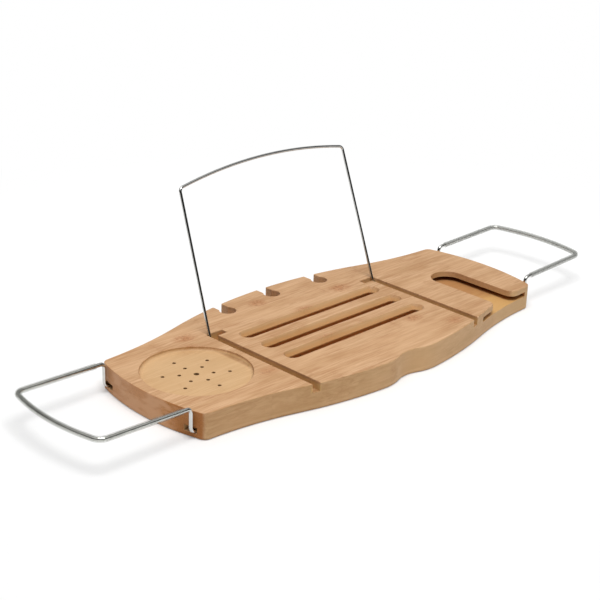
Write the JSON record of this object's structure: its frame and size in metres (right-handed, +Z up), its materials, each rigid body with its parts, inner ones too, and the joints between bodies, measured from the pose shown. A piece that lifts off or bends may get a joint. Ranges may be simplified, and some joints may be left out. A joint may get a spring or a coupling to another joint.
{
  "type": "bath caddy",
  "caption": "Bamboo board that spans a bathtub on sliding wire arms, with a folding wire book rest, cup recess, slots and glass holder.",
  "frame": {"origin": "middle of the board's underside", "axes": "+X along the board to the glass holder's end, +Y to the notched back edge, +Z up"},
  "size_m": [0.711, 0.2176, 0.1786],
  "materials": {
    "bamboo": "satin lacquer",
    "steel_wire": "polished",
    "clear_vinyl": "clear",
    "pin_steel": "plain"
  },
  "bodies": {
    "board": {"top_panel": "bamboo", "core_board": "bamboo", "bottom_panel": "bamboo", "arm_stop_pins": "pin_steel"},
    "left_arm": {"left_arm": "steel_wire", "left_arm_sleeve": "clear_vinyl"},
    "right_arm": {"right_arm": "steel_wire", "right_arm_sleeve": "clear_vinyl"},
    "book_rest": {"book_rest": "steel_wire"}
  },
  "joints": [
    {"name": "left_arm_slide", "type": "slide", "parent": "board", "child": "left_arm", "axis": [-1, 0, 0], "range_m": [0, 0.114]},
    {"name": "right_arm_slide", "type": "slide", "parent": "board", "child": "right_arm", "axis": [1, 0, 0], "range_m": [0, 0.114]},
    {"name": "book_rest_hinge", "type": "hinge", "parent": "board", "child": "book_rest", "pos_m": [0, 0.0522, 0.0229], "axis": [1, 0, 0], "range_deg": [0, 110.8]}
  ]
}
